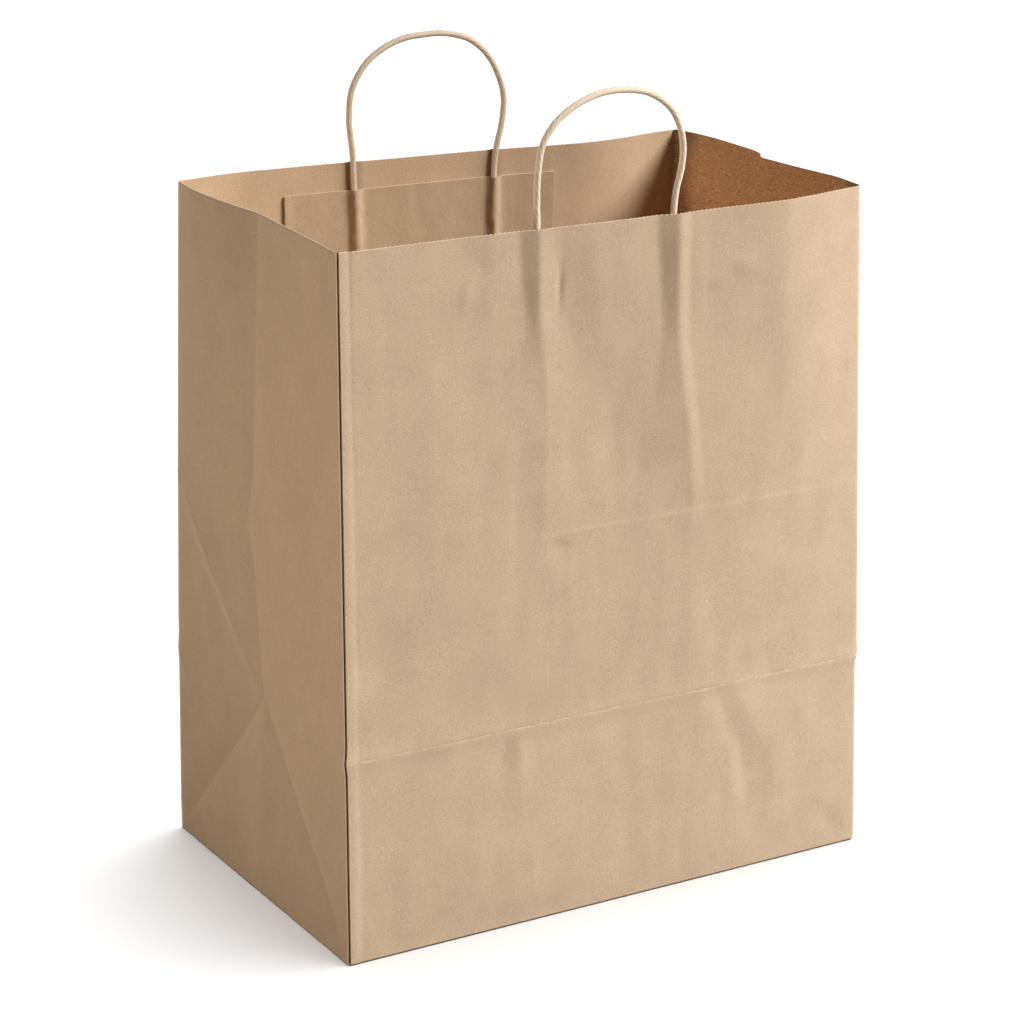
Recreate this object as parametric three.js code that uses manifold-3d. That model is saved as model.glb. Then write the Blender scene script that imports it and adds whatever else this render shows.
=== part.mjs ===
import * as THREE from 'three';
import { LoftGeometry } from 'three/addons/geometries/LoftGeometry.js';
import { mergeVertices } from 'three/addons/utils/BufferGeometryUtils.js';
import Module from 'manifold-3d';

// Paper carrier bag, standing open. Millimetres, +Z up, front wall towards -Y, base on z = 0.

// Folded sheet
const BAG_WIDTH = 368;
const BAG_DEPTH = 230;
const BAG_HEIGHT = 427;
const MOUTH_DRAW_WIDTH = 12.6;
const MOUTH_DRAW_DEPTH = 23.4;
const SHEET = 0.2;
const CORNER_FOLD = 1;

// Block bottom
const BASE_LAYERS = 3;
const FLAP_PAST_MIDDLE = 15;

// Bottom fold, second fold and the pinched corners where the bottom fold meets them
const FOLD_HEIGHT = 125.5;
const FOLD_RISE = 1;
const FOLD_REACH = 8;
const SECOND_FOLD_HEIGHT = 242;
const SECOND_FOLD_RISE = 0.5;
const SECOND_FOLD_REACH = 50;
const CORNER_PINCH = 2;
const CORNER_PINCH_SPREAD = 9;

// Gussets: centre crease above the apex, two creases from the apex to the lower corners
const APEX_HEIGHT = 126;
const APEX_DEPTH = 6;
const APEX_SHIFT = 4;
const CREASE_KINK_SHIFT = 20;
const CREASE_MOUTH_SHIFT = 6;

// Bowing of the walls at the mouth, outward positive
const MOUTH_CURVE = 1.4;
const FRONT_BOW = 9.5;
const FRONT_BOW_PEAK = 0.6;
const FRONT_BOW_END = 10;
const BACK_MOUTH = [
  [-1, 5], [-0.93, 7.5], [-0.77, 12], [-0.5, 9.6], [-0.2, 5], [0, 2.2],
  [0.13, 2], [0.3, -2], [0.6, -11], [0.74, -8.5], [0.89, -2], [1, 0],
];
const LEFT_MOUTH = [
  [-1, 0], [-0.6, -2.2], [0, -4.5], [0.1, -3.6], [0.2, -1.5], [0.44, 1], [0.7, 2.4], [0.85, 2], [1, 0],
];
const RIGHT_MOUTH = [
  [-1, 0], [-0.75, 2.8], [-0.4, 0], [-0.2, -1.9], [0, -3.4],
  [0.1, 3.1], [0.2, 6.2], [0.6, 6.6], [0.85, 4.4], [1, 0],
];

// Lap seam along the front left corner: a groove, a narrow strip and the step off it
const SEAM_GROOVE = 0.6;
const SEAM_STRIP_WIDTH = 5.8;
const SEAM_STRIP_RISE = 0.4;
const SEAM_STEP = 1.2;

// Pinked mouth
const TOOTH_PITCH = 3;
const TOOTH_DEPTH = 0.6;

// Twisted paper cord and the strips that hold it
const CORD_DIAMETER = 4;
const CORD_SIDES = 10;
const CORD_STEPS = 72;
const HANDLE_PITCH = 92;
const FRONT_CENTRE = -3.6;
const BACK_CENTRE = -7.6;
const FRONT_LEAN = -5;
const BACK_LEAN = 0;
const STRIP_LENGTH = 186;
const STRIP_HEIGHT = 50;
const STRIP_BELOW_MOUTH = 17;
const CORD_END_IN_STRIP = 7;
const CORD_LEAVES_WALL = 30;
const GLUE_GAP = 0.3;
const RIDGE_RISE = 2.6;
const RIDGE_FADE = 20;
const RIDGE_PROFILE = [[-9, 0], [-6, 0.25], [-3, 0.75], [0, 1], [3, 0.75], [6, 0.25], [9, 0]];
const COVER_PROFILE = [[-9, 0], [-6, 0.15], [-3, 0.8], [0, 1], [3, 0.8], [6, 0.15], [9, 0]];

// Free part of each loop: x from the middle of the legs, height above the mouth
const FRONT_LOOP = [
  [-46.8, 17], [-46.6, 35.1], [-44.8, 48.3], [-37.3, 61], [-24.8, 70.1], [-8.6, 75.3], [7.9, 75.9],
  [23.2, 72.7], [37.4, 63.2], [46, 50.5], [49.4, 37.9], [48.6, 25.9], [46.4, 12.3],
];
const BACK_LOOP = [
  [-49.3, 5.5], [-50.2, 28.2], [-47.4, 47.1], [-36.8, 63], [-17.7, 73.5], [1.3, 76.5], [15.2, 75.9],
  [30.9, 71.7], [43.2, 61], [52, 47.4], [55.9, 34], [54.6, 17.8], [50.1, 0.7],
];

// Worked out from the sizes above
const FRONT = -1;
const BACK = 1;
const MOUTH_WIDTH = BAG_WIDTH - MOUTH_DRAW_WIDTH;
const MOUTH_DEPTH = BAG_DEPTH - MOUTH_DRAW_DEPTH;
const BASE = BASE_LAYERS * SHEET;
const STRIP_TOP_HEIGHT = BAG_HEIGHT - STRIP_BELOW_MOUTH;
const STRIP_FOOT_HEIGHT = STRIP_TOP_HEIGHT - STRIP_HEIGHT;
const CORD_INSET = 2 * (SHEET + GLUE_GAP) + CORD_DIAMETER / 2;
const COVER_RISE = CORD_DIAMETER + GLUE_GAP - RIDGE_RISE;

// Small curve helpers
const lerp = THREE.MathUtils.lerp;
const smoothstep = (a, b, x) => THREE.MathUtils.smoothstep(x, a, b);
const along = (list, x) => {
  if (x <= list[0][0]) return list[0][1];
  for (let i = 1; i < list.length; i++) {
    const [x0, y0] = list[i - 1];
    const [x1, y1] = list[i];
    if (x <= x1) return lerp(y0, y1, (x - x0) / (x1 - x0));
  }
  return list[list.length - 1][1];
};

// Walls
const halfWidth = (z) => lerp(BAG_WIDTH, MOUTH_WIDTH, z / BAG_HEIGHT) / 2;
const halfDepth = (z) => lerp(BAG_DEPTH, MOUTH_DEPTH, z / BAG_HEIGHT) / 2;
const mouth = (z) => Math.max(0, (z - APEX_HEIGHT) / (BAG_HEIGHT - APEX_HEIGHT)) ** MOUTH_CURVE;
const nearFold = (z) => Math.max(0, 1 - Math.abs(z - FOLD_HEIGHT) / FOLD_REACH);
const nearSecondFold = (z) => Math.max(0, 1 - Math.abs(z - SECOND_FOLD_HEIGHT) / SECOND_FOLD_REACH);
const ridgeZone = (z) => THREE.MathUtils.clamp(1 - (STRIP_FOOT_HEIGHT - z) / RIDGE_FADE, 0, 1);
const centreOf = (side) => (side === FRONT ? FRONT_CENTRE : BACK_CENTRE);
const legs = (side) => [centreOf(side) - HANDLE_PITCH / 2, centreOf(side) + HANDLE_PITCH / 2];
const stripEnds = (side) => [centreOf(side) - STRIP_LENGTH / 2, centreOf(side) + STRIP_LENGTH / 2];
const ridge = (side, x, z) => {
  const total = legs(side).reduce((sum, leg) => sum + along(RIDGE_PROFILE, x - leg), 0);
  return RIDGE_RISE * total * ridgeZone(z);
};

// How far a long wall stands out from its plane at x and height z
const swell = (side, x, z) => {
  const f = THREE.MathUtils.clamp(x / halfWidth(z), -1, 1);
  if (side === FRONT) {
    const bow = FRONT_BOW * smoothstep(-1, FRONT_BOW_PEAK, f) * (1 - f ** FRONT_BOW_END) * mouth(z);
    return bow + FOLD_RISE * nearFold(z) + SECOND_FOLD_RISE * nearSecondFold(z) + ridge(side, x, z);
  }
  return along(BACK_MOUTH, f) * mouth(z) + FOLD_RISE * nearFold(z) + ridge(side, x, z);
};
const wallY = (side, x, z, inset) => side * (halfDepth(z) + swell(side, x, z) - inset);

// How far a gusset wall stands out; g runs from -1 at the front corner to 1 at the back
const gussetSwell = (list, g, z) => {
  const fold = Math.min(z / APEX_HEIGHT, 1 - Math.abs(g));
  const depth = APEX_DEPTH * Math.min(1, (BAG_HEIGHT - z) / (BAG_HEIGHT - APEX_HEIGHT));
  return along(list, g) * mouth(z) - depth * fold;
};
const LEFT_CREASE = [
  [APEX_HEIGHT, APEX_SHIFT], [SECOND_FOLD_HEIGHT, CREASE_KINK_SHIFT], [BAG_HEIGHT, CREASE_MOUTH_SHIFT],
];

// Heights of the rings: on the long walls, and at the middle of the gussets, where they pass over the apex
const RING_STEP = 4;
const LOWER_MIDDLE = (FOLD_HEIGHT + FOLD_REACH + SECOND_FOLD_HEIGHT) / 2;
const UPPER_MIDDLE = (SECOND_FOLD_HEIGHT + STRIP_FOOT_HEIGHT - RIDGE_FADE) / 2;
const LEVELS = [
  [0, 0],
  [RING_STEP, APEX_HEIGHT],
  [FOLD_HEIGHT - FOLD_REACH, APEX_HEIGHT + RING_STEP],
  [FOLD_HEIGHT, APEX_HEIGHT + 2 * RING_STEP],
  [FOLD_HEIGHT + FOLD_REACH, APEX_HEIGHT + 3 * RING_STEP],
  [LOWER_MIDDLE, LOWER_MIDDLE],
  [SECOND_FOLD_HEIGHT, SECOND_FOLD_HEIGHT],
  [UPPER_MIDDLE, UPPER_MIDDLE],
  [STRIP_FOOT_HEIGHT - RIDGE_FADE, STRIP_FOOT_HEIGHT - RIDGE_FADE],
  [STRIP_FOOT_HEIGHT, STRIP_FOOT_HEIGHT],
  [STRIP_FOOT_HEIGHT + STRIP_HEIGHT / 2, STRIP_FOOT_HEIGHT + STRIP_HEIGHT / 2],
  [STRIP_TOP_HEIGHT, STRIP_TOP_HEIGHT],
];

// Places along each wall where the ring has a point, as shares of half the wall, and at the ridges and strips
const GUSSET_PLACES = [-0.85, -0.6, -0.3, -0.15, 0, 0.1, 0.2, 0.44, 0.65, 0.85];
const WALL_PLACES = [-0.93, -0.77, -0.5, -0.09, 0.13, 0.38, 0.6, 0.74, 0.89];
const wallPlaces = (side) => {
  const list = WALL_PLACES.map((share) => (share * MOUTH_WIDTH) / 2);
  for (const leg of legs(side)) for (const [step] of RIDGE_PROFILE) list.push(leg + step);
  return [...list, ...stripEnds(side)].sort((a, b) => a - b);
};

// One ring of the sheet at a level, moved inward by inset
function ring(level, topHeight, floorHeight, inset) {
  const top = level >= LEVELS.length;
  const wallZ = top ? topHeight : Math.max(LEVELS[level][0], floorHeight);
  const middleZ = top ? topHeight : Math.max(LEVELS[level][1], floorHeight);
  const hw = halfWidth(wallZ) - inset;
  const hd = halfDepth(wallZ) - inset;
  const hdBackLeft = hd + along(BACK_MOUTH, -1) * mouth(wallZ);
  const pinch = CORNER_PINCH * nearFold(wallZ);
  const points = [];
  const add = (x, y, z) => points.push(new THREE.Vector3(x, y, z));

  // Front wall, left to right, starting with the lap seam
  const strip = -hw - pinch + CORNER_FOLD + SEAM_STEP;
  add(-hw - pinch + CORNER_FOLD, -hd + SEAM_GROOVE - pinch / 2, wallZ);
  add(strip, -hd - SEAM_STRIP_RISE - pinch / 2, wallZ);
  add(strip + SEAM_STRIP_WIDTH, -hd - SEAM_STRIP_RISE, wallZ);
  add(strip + SEAM_STRIP_WIDTH + SEAM_STEP, -hd, wallZ);
  for (const x of wallPlaces(FRONT)) add(x, wallY(FRONT, x, wallZ, inset), wallZ);
  add(hw + pinch - CORNER_FOLD, -hd - pinch / 2, wallZ);

  // Right gusset, front to back
  const gusset = (g, list, sign, shift, hdBack) => {
    const arch = 1 - Math.abs(g);
    const z = lerp(wallZ, middleZ, level === 1 ? arch : arch ** 2);
    const bulge = pinch * Math.max(0, 1 - (arch * hd) / CORNER_PINCH_SPREAD);
    const y = g * (g < 0 ? hd : hdBack) + shift * arch;
    add(sign * (halfWidth(z) - inset + gussetSwell(list, g, z) + bulge), y, z);
  };
  add(hw + pinch, -hd - pinch / 2 + CORNER_FOLD, wallZ);
  for (const g of GUSSET_PLACES) gusset(g, RIGHT_MOUTH, 1, 0, hd);
  add(hw + pinch, hd + pinch / 2 - CORNER_FOLD, wallZ);

  // Back wall, right to left
  add(hw + pinch - CORNER_FOLD, hd + pinch / 2, wallZ);
  for (const x of wallPlaces(BACK).reverse()) add(x, wallY(BACK, x, wallZ, inset), wallZ);
  add(-hw - pinch + CORNER_FOLD, hdBackLeft + pinch / 2, wallZ);

  // Left gusset, back to front
  add(-hw - pinch, hdBackLeft + pinch / 2 - CORNER_FOLD, wallZ);
  const shift = along(LEFT_CREASE, middleZ);
  for (const g of [...GUSSET_PLACES].reverse()) gusset(g, LEFT_MOUTH, -1, shift, hdBackLeft);
  add(-hw - pinch, -hd - pinch / 2 + CORNER_FOLD, wallZ);
  return points;
}

// Solids for the cuts, which reach past what they cut by a spare length
const CUT_SPARE = 1;
const KNIFE_SPARE = 10;
const MERGE_STEP = 1e-4;
const SHORTEST_EDGE = 0.002;
const manifoldLibrary = await Module();
manifoldLibrary.setup();
const { Manifold, Mesh: SolidMesh } = manifoldLibrary;

function solid(geometry) {
  const bare = new THREE.BufferGeometry();
  bare.setAttribute('position', geometry.getAttribute('position'));
  if (geometry.index) bare.setIndex(geometry.index);
  const merged = mergeVertices(bare, MERGE_STEP);
  return new Manifold(new SolidMesh({
    numProp: 3,
    vertProperties: new Float32Array(merged.getAttribute('position').array),
    triVerts: new Uint32Array(merged.index.array),
  }));
}

function geometryOf(body) {
  const mesh = body.getMesh();
  const geometry = new THREE.BufferGeometry();
  const positions = new Float32Array(mesh.numVert * 3);
  for (let i = 0; i < mesh.numVert; i++) {
    for (let k = 0; k < 3; k++) positions[3 * i + k] = mesh.vertProperties[mesh.numProp * i + k];
  }
  geometry.setAttribute('position', new THREE.BufferAttribute(positions, 3));
  geometry.setIndex(new THREE.BufferAttribute(new Uint32Array(mesh.triVerts), 1));
  const flat = geometry.toNonIndexed();
  flat.computeVertexNormals();
  return flat;
}

// A polygon of the base plane, cut upward from below
function baseCut(corners, depth) {
  const shape = new THREE.Shape(corners.map(([x, y]) => new THREE.Vector2(x, y)));
  const geometry = new THREE.ExtrudeGeometry(shape, { depth: depth + CUT_SPARE, bevelEnabled: false });
  geometry.translate(0, 0, -CUT_SPARE);
  return solid(geometry);
}

// The knife that pinks the mouth, run through both long walls
function mouthKnife() {
  const teeth = Math.ceil(BAG_WIDTH / TOOTH_PITCH) + 2;
  const left = (-teeth * TOOTH_PITCH) / 2;
  const top = BAG_HEIGHT + 2 * KNIFE_SPARE;
  const shape = new THREE.Shape();
  shape.moveTo(left, top);
  for (let i = 0; i <= 2 * teeth; i++) {
    shape.lineTo(left + (i * TOOTH_PITCH) / 2, BAG_HEIGHT - (i % 2 ? TOOTH_DEPTH : 0));
  }
  shape.lineTo(-left, top);
  const depth = BAG_DEPTH + 2 * KNIFE_SPARE;
  const geometry = new THREE.ExtrudeGeometry(shape, { depth, bevelEnabled: false });
  geometry.rotateX(Math.PI / 2);
  geometry.translate(0, depth / 2, 0);
  return solid(geometry);
}

function bagBody() {
  const outside = [];
  const inside = [];
  for (let level = 0; level <= LEVELS.length; level++) {
    outside.push(ring(level, BAG_HEIGHT + CUT_SPARE, 0, 0));
    inside.push(ring(level, BAG_HEIGHT + 2 * CUT_SPARE, BASE, SHEET));
  }
  const caps = { capStart: true, capEnd: true };
  const w = BAG_WIDTH / 2 + CUT_SPARE;
  const d = BAG_DEPTH / 2 + CUT_SPARE;
  const past = FLAP_PAST_MIDDLE;
  const reach = w - d;
  const lower = [
    [-w, -d], [w, -d], [w, 0], [reach, 0], [reach - past, -past], [past - reach, -past], [-reach, 0], [-w, 0],
  ];
  const rightEnd = [[w, -d], [w, d], [reach, 0]];
  const leftEnd = [[-w, d], [-w, -d], [-reach, 0]];
  return solid(new LoftGeometry(outside, caps))
    .subtract(solid(new LoftGeometry(inside, caps)))
    .subtract(mouthKnife())
    .subtract(baseCut(lower, SHEET))
    .subtract(baseCut(rightEnd, 2 * SHEET))
    .subtract(baseCut(leftEnd, 2 * SHEET))
    .simplify(SHORTEST_EDGE);
}

// A thin strip laid on the inside of a long wall; near(x, z) is its inset on the wall's side
function stripGeometry(side, near) {
  const [first, last] = stripEnds(side);
  const places = wallPlaces(side).filter((x) => x >= first && x <= last);
  const columns = places.length - 1;
  const rows = 2;
  const geometry = new THREE.BoxGeometry(1, 1, 1, columns, 1, rows);
  const position = geometry.getAttribute('position');
  for (let i = 0; i < position.count; i++) {
    const x = places[Math.round((position.getX(i) + 0.5) * columns)];
    const z = STRIP_TOP_HEIGHT - STRIP_HEIGHT * (0.5 - position.getZ(i));
    const far = position.getY(i) * side < 0;
    position.setXYZ(i, x, wallY(side, x, z, near(x) + (far ? SHEET : 0)), z);
  }
  geometry.computeVertexNormals();
  return geometry;
}
const backingInset = () => SHEET + GLUE_GAP;
const coverInset = (side) => (x) => {
  const rise = legs(side).reduce((sum, leg) => sum + along(COVER_PROFILE, x - leg), 0);
  const bend = legs(side).reduce((sum, leg) => sum + along(RIDGE_PROFILE, x - leg), 0);
  return 2 * (SHEET + GLUE_GAP) + COVER_RISE * rise + RIDGE_RISE * bend;
};

// A cord runs up from under its strip, round the loop and down again
function cordGeometry(side, loop, lean) {
  const [left, right] = legs(side);
  const legPoint = (x, z) => new THREE.Vector3(x, wallY(side, x, z, CORD_INSET), z);
  const leftTop = legPoint(left, BAG_HEIGHT);
  const rightTop = legPoint(right, BAG_HEIGHT);
  const slope = Math.tan(THREE.MathUtils.degToRad(lean));
  const end = STRIP_FOOT_HEIGHT + CORD_END_IN_STRIP;
  const rising = [end, (end + STRIP_TOP_HEIGHT) / 2, STRIP_TOP_HEIGHT];
  const route = rising.map((z) => legPoint(left, z));
  for (const [step, rise] of loop) {
    const x = centreOf(side) + step;
    const t = THREE.MathUtils.clamp((x - left) / (right - left), 0, 1);
    const free = smoothstep(0, CORD_LEAVES_WALL, rise);
    const y = lerp(legPoint(x, BAG_HEIGHT).y, lerp(leftTop.y, rightTop.y, t), free);
    route.push(new THREE.Vector3(x, y + slope * rise, BAG_HEIGHT + rise));
  }
  for (const z of rising.reverse()) route.push(legPoint(right, z));
  const section = new THREE.Shape();
  const radius = CORD_DIAMETER / 2;
  for (let i = 0; i < CORD_SIDES; i++) {
    const angle = (2 * Math.PI * i) / CORD_SIDES;
    if (i === 0) section.moveTo(radius, 0);
    else section.lineTo(radius * Math.cos(angle), radius * Math.sin(angle));
  }
  const extrudePath = new THREE.CatmullRomCurve3(route);
  return new THREE.ExtrudeGeometry(section, { steps: CORD_STEPS, extrudePath, bevelEnabled: false });
}

const KRAFT = new THREE.MeshStandardMaterial({ color: 0xc9ad89, roughness: 0.9, metalness: 0 });
const STRIP_PAPER = new THREE.MeshStandardMaterial({ color: 0xb99b77, roughness: 0.9, metalness: 0 });
const CORD_PAPER = new THREE.MeshStandardMaterial({ color: 0xdcc9ae, roughness: 0.85, metalness: 0 });

const bag = new THREE.Group();
bag.name = 'paper_carrier_bag';
const addPiece = (name, geometry, material) => {
  const mesh = new THREE.Mesh(geometry, material);
  mesh.name = name;
  bag.add(mesh);
};

addPiece('bag_body', geometryOf(bagBody()), KRAFT);
addPiece('front_backing_strip', stripGeometry(FRONT, backingInset), STRIP_PAPER);
addPiece('front_cover_strip', stripGeometry(FRONT, coverInset(FRONT)), STRIP_PAPER);
addPiece('back_backing_strip', stripGeometry(BACK, backingInset), STRIP_PAPER);
addPiece('back_cover_strip', stripGeometry(BACK, coverInset(BACK)), STRIP_PAPER);
addPiece('front_handle', cordGeometry(FRONT, FRONT_LOOP, FRONT_LEAN), CORD_PAPER);
addPiece('back_handle', cordGeometry(BACK, BACK_LOOP, BACK_LEAN), CORD_PAPER);

export default bag;
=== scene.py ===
import functools
import math

import bmesh
import bpy
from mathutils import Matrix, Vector, noise


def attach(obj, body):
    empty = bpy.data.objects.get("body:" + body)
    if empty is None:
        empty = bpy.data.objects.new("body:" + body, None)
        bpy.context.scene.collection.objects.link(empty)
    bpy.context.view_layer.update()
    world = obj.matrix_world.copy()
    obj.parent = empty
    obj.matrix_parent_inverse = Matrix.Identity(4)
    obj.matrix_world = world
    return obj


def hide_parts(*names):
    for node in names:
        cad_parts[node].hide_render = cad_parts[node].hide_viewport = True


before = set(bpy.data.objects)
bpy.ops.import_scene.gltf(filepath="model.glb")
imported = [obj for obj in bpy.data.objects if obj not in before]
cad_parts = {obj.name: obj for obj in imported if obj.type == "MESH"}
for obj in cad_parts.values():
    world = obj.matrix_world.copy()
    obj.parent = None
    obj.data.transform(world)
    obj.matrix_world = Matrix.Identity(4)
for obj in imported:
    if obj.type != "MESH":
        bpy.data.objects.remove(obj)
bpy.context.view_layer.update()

# Paper carrier bag. Sizes are in millimetres, +Z up, front wall towards -Y, and meshes end up in metres.
MM = 0.001
FRONT = -1
BACK = 1

# Folded sheet
BAG_WIDTH = 368.0
BAG_DEPTH = 230.0
BAG_HEIGHT = 427.0
MOUTH_DRAW_WIDTH = 12.6
MOUTH_DRAW_DEPTH = 23.4
SHEET = 0.2

# Folds
FOLD_HEIGHT = 125.5
SECOND_FOLD_HEIGHT = 242.0
APEX_HEIGHT = 126.0
APEX_DEPTH = 6.0
UPPER_CREASE_HEIGHT = 246.0

# Middle crease of the left gusset: height, and how far it runs behind the middle of the wall
LEFT_CREASE = (
    (126, 4), (141, 6), (160, 8.5), (185, 11), (211, 15),
    (237.5, 20.5), (254, 15.5), (275, 12), (326, 9.5), (427, 6.5),
)

# Bowing of the walls at the mouth, outward positive, along each wall from -1 to 1
MOUTH_CURVE = 1.4
FRONT_BOW = 9.5
FRONT_BOW_PEAK = 0.6
FRONT_BOW_END = 0.66
FRONT_BOW_FALL = 1.3
BACK_MOUTH = (
    (-1, 5), (-0.93, 7.5), (-0.77, 12), (-0.5, 9.2), (-0.2, 4.6), (0, 1.8),
    (0.13, 0.4), (0.3, -3.3), (0.5, -8.7), (0.6, -10.2), (0.74, -8.3), (0.89, -2), (1, 0),
)
LEFT_MOUTH = (
    (-1, 0), (-0.6, -2.2), (0, -4.5), (0.1, -3.6), (0.2, -1.5), (0.44, 1), (0.7, 2.4), (0.85, 2), (1, 0),
)
RIGHT_MOUTH = ((-1, 0), (-0.75, 2.8), (-0.4, 1.5), (0, 1.0), (0.3, 3.2), (0.6, 4.6), (0.85, 3.6), (1, 0))

# Pleat of the right gusset's middle fold, at the mouth only
RIGHT_PLEAT = ((-0.7, 0), (-0.35, -3.2), (-0.02, -5.0), (0.07, 1.8), (0.2, 3.2), (0.6, 2.0), (1, 0))
PLEAT_FADE = (415.0, 427.0)

# How the four corner edges of the bag stand off its box: height, then x, y and z
CORNER_STAND = {
    (-1, -1): ((0, 0, -3.2, 0), (125, 0.2, -2.6, 0), (427, -0.4, -3, 0)),
    (-1, 1): (
        (0, -0.6, 4.2, 0), (20, -1, 5, 0), (110, -1.4, 5.6, 0), (150, -1.6, 5.7, 0), (200, -1.4, 4.9, 0),
        (260, -0.9, 4.4, 0), (330, -0.3, 2.7, 0.4), (427, 0.8, 0.4, 1.5),
    ),
    (1, -1): (
        (0, -2.2, 0, 0), (1, -1.3, 0, 0), (4, -0.5, 0, 0), (12, -0.2, 0, 0), (120, 0.1, 0, 0),
        (129, 1.6, 0, 0), (427, 1.8, 0, 0),
    ),
    (1, 1): ((0, 0, 0, 0), (427, 0, 0, 0)),
}

# Cords and strips
CORD_DIAMETER = 4.0
HANDLE_PITCH = 92.0
CENTRE = {FRONT: -3.6, BACK: -7.6}
LEAN = {FRONT: -5.0, BACK: 0.0}
STRIP_LENGTH = 186.0
STRIP_HEIGHT = 50.0
STRIP_BELOW_MOUTH = 17.0
STRIP_TOP = BAG_HEIGHT - STRIP_BELOW_MOUTH
STRIP_CENTRE = {FRONT: -3.6, BACK: -10.7}
STRIP_FOOT = STRIP_TOP - STRIP_HEIGHT
CORD_END_IN_STRIP = 7.0
CORD_END = STRIP_FOOT + CORD_END_IN_STRIP
CORD_LEAVES_WALL = 30.0
GLUE_GAP = 0.3

# The legs of the front cord stand under ridges of its wall; the legs of the back cord press dents into theirs
RIDGE_RISE = 2.6
RIDGE_FADE = 20.0
RIDGE_PROFILE = ((-9, 0), (-6, 0.25), (-3, 0.75), (0, 1), (3, 0.75), (6, 0.25), (9, 0))
DENT_DEPTH = 1.1
DENT_PROFILE = ((-6, 0), (-3.5, 0.35), (-1.5, 0.9), (0, 1), (1.5, 0.9), (3.5, 0.35), (6, 0))
CORD_INSET = 2 * (SHEET + GLUE_GAP) + CORD_DIAMETER / 2

# Legs of the cords under the strips: height, then x from the middle of the legs on the left and on the right
LEGS = {
    FRONT: ((367, -46, 45.5), (388, -46, 45), (410, -46, 43.3)),
    BACK: ((367, -47.8, 47.5), (388, -48.2, 47.4), (410, -49.3, 47.3)),
}

# Free part of each loop: x from the middle of the legs, height above the mouth
LOOP = {
    FRONT: (
        (-47.5, 17), (-47.5, 35.1), (-45.4, 48.3), (-37.4, 61), (-24.6, 70.1), (-8.6, 75.5), (7.9, 75.9),
        (23.1, 72.6), (37.2, 62.9), (44.7, 50.5), (47.6, 37.9), (47.2, 25.9), (44.4, 12.3),
    ),
    BACK: (
        (-50.1, 5.5), (-52.1, 28.2), (-49.5, 47.1), (-38.2, 64), (-18.4, 75), (1.1, 77.5), (14.8, 77),
        (30.3, 72.4), (42.9, 61.6), (50.8, 47.4), (54.3, 34), (52.7, 17.8), (48.6, 0.7),
    ),
}


# Small helpers
def lerp(a, b, t):
    return a + (b - a) * t


def clamp(x, low=0.0, high=1.0):
    return max(low, min(high, x))


def smoothstep(a, b, x):
    t = clamp((x - a) / (b - a))
    return t * t * (3 - 2 * t)


def along(points, x):
    """Height of a broken line at x, level past its ends."""
    if x <= points[0][0]:
        return points[0][1]
    for (x0, y0), (x1, y1) in zip(points, points[1:]):
        if x <= x1:
            return lerp(y0, y1, (x - x0) / (x1 - x0))
    return points[-1][1]


# Rounding of a broken line: its reach as a share of the line, and where the line is read within that reach
EASE_REACH = 0.035
EASE_TAPS = (-0.8, -0.3, 0.3, 0.8)


def eased(points, x):
    """The same line with its corners rounded off."""
    start = points[0][0]
    end = points[-1][0]
    slack = EASE_REACH * (end - start)
    return sum(along(points, clamp(x + tap * slack, start, end)) for tap in EASE_TAPS) / len(EASE_TAPS)


def placed(rows, height):
    """Offsets at a height from rows of (height, offsets)."""
    for low, high in zip(rows, rows[1:]):
        if height <= high[0]:
            t = clamp((height - low[0]) / (high[0] - low[0]))
            return [lerp(a, b, t) for a, b in zip(low[1:], high[1:])]
    return list(rows[-1][1:])


def unevenness(x, z, size, seed):
    """Soft chance relief of about -1 to 1, with swells of the given size."""
    return noise.noise(Vector((x / size, z / size, seed)))


# Walls
def half_width(z):
    return (BAG_WIDTH - MOUTH_DRAW_WIDTH * z / BAG_HEIGHT) / 2


def half_depth(z):
    return (BAG_DEPTH - MOUTH_DRAW_DEPTH * z / BAG_HEIGHT) / 2


def mouth(z):
    return max(0.0, (z - APEX_HEIGHT) / (BAG_HEIGHT - APEX_HEIGHT)) ** MOUTH_CURVE


def legs(side):
    return (CENTRE[side] - HANDLE_PITCH / 2, CENTRE[side] + HANDLE_PITCH / 2)


def stand_off(f, g, z):
    """How far the skewed bag stands off its box at shares f and g of its half width and half depth."""
    total = Vector((0, 0, 0))
    for (sx, sy), rows in CORNER_STAND.items():
        total += Vector(placed(rows, z)) * ((1 + sx * f) / 2 * (1 + sy * g) / 2)
    return total


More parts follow.
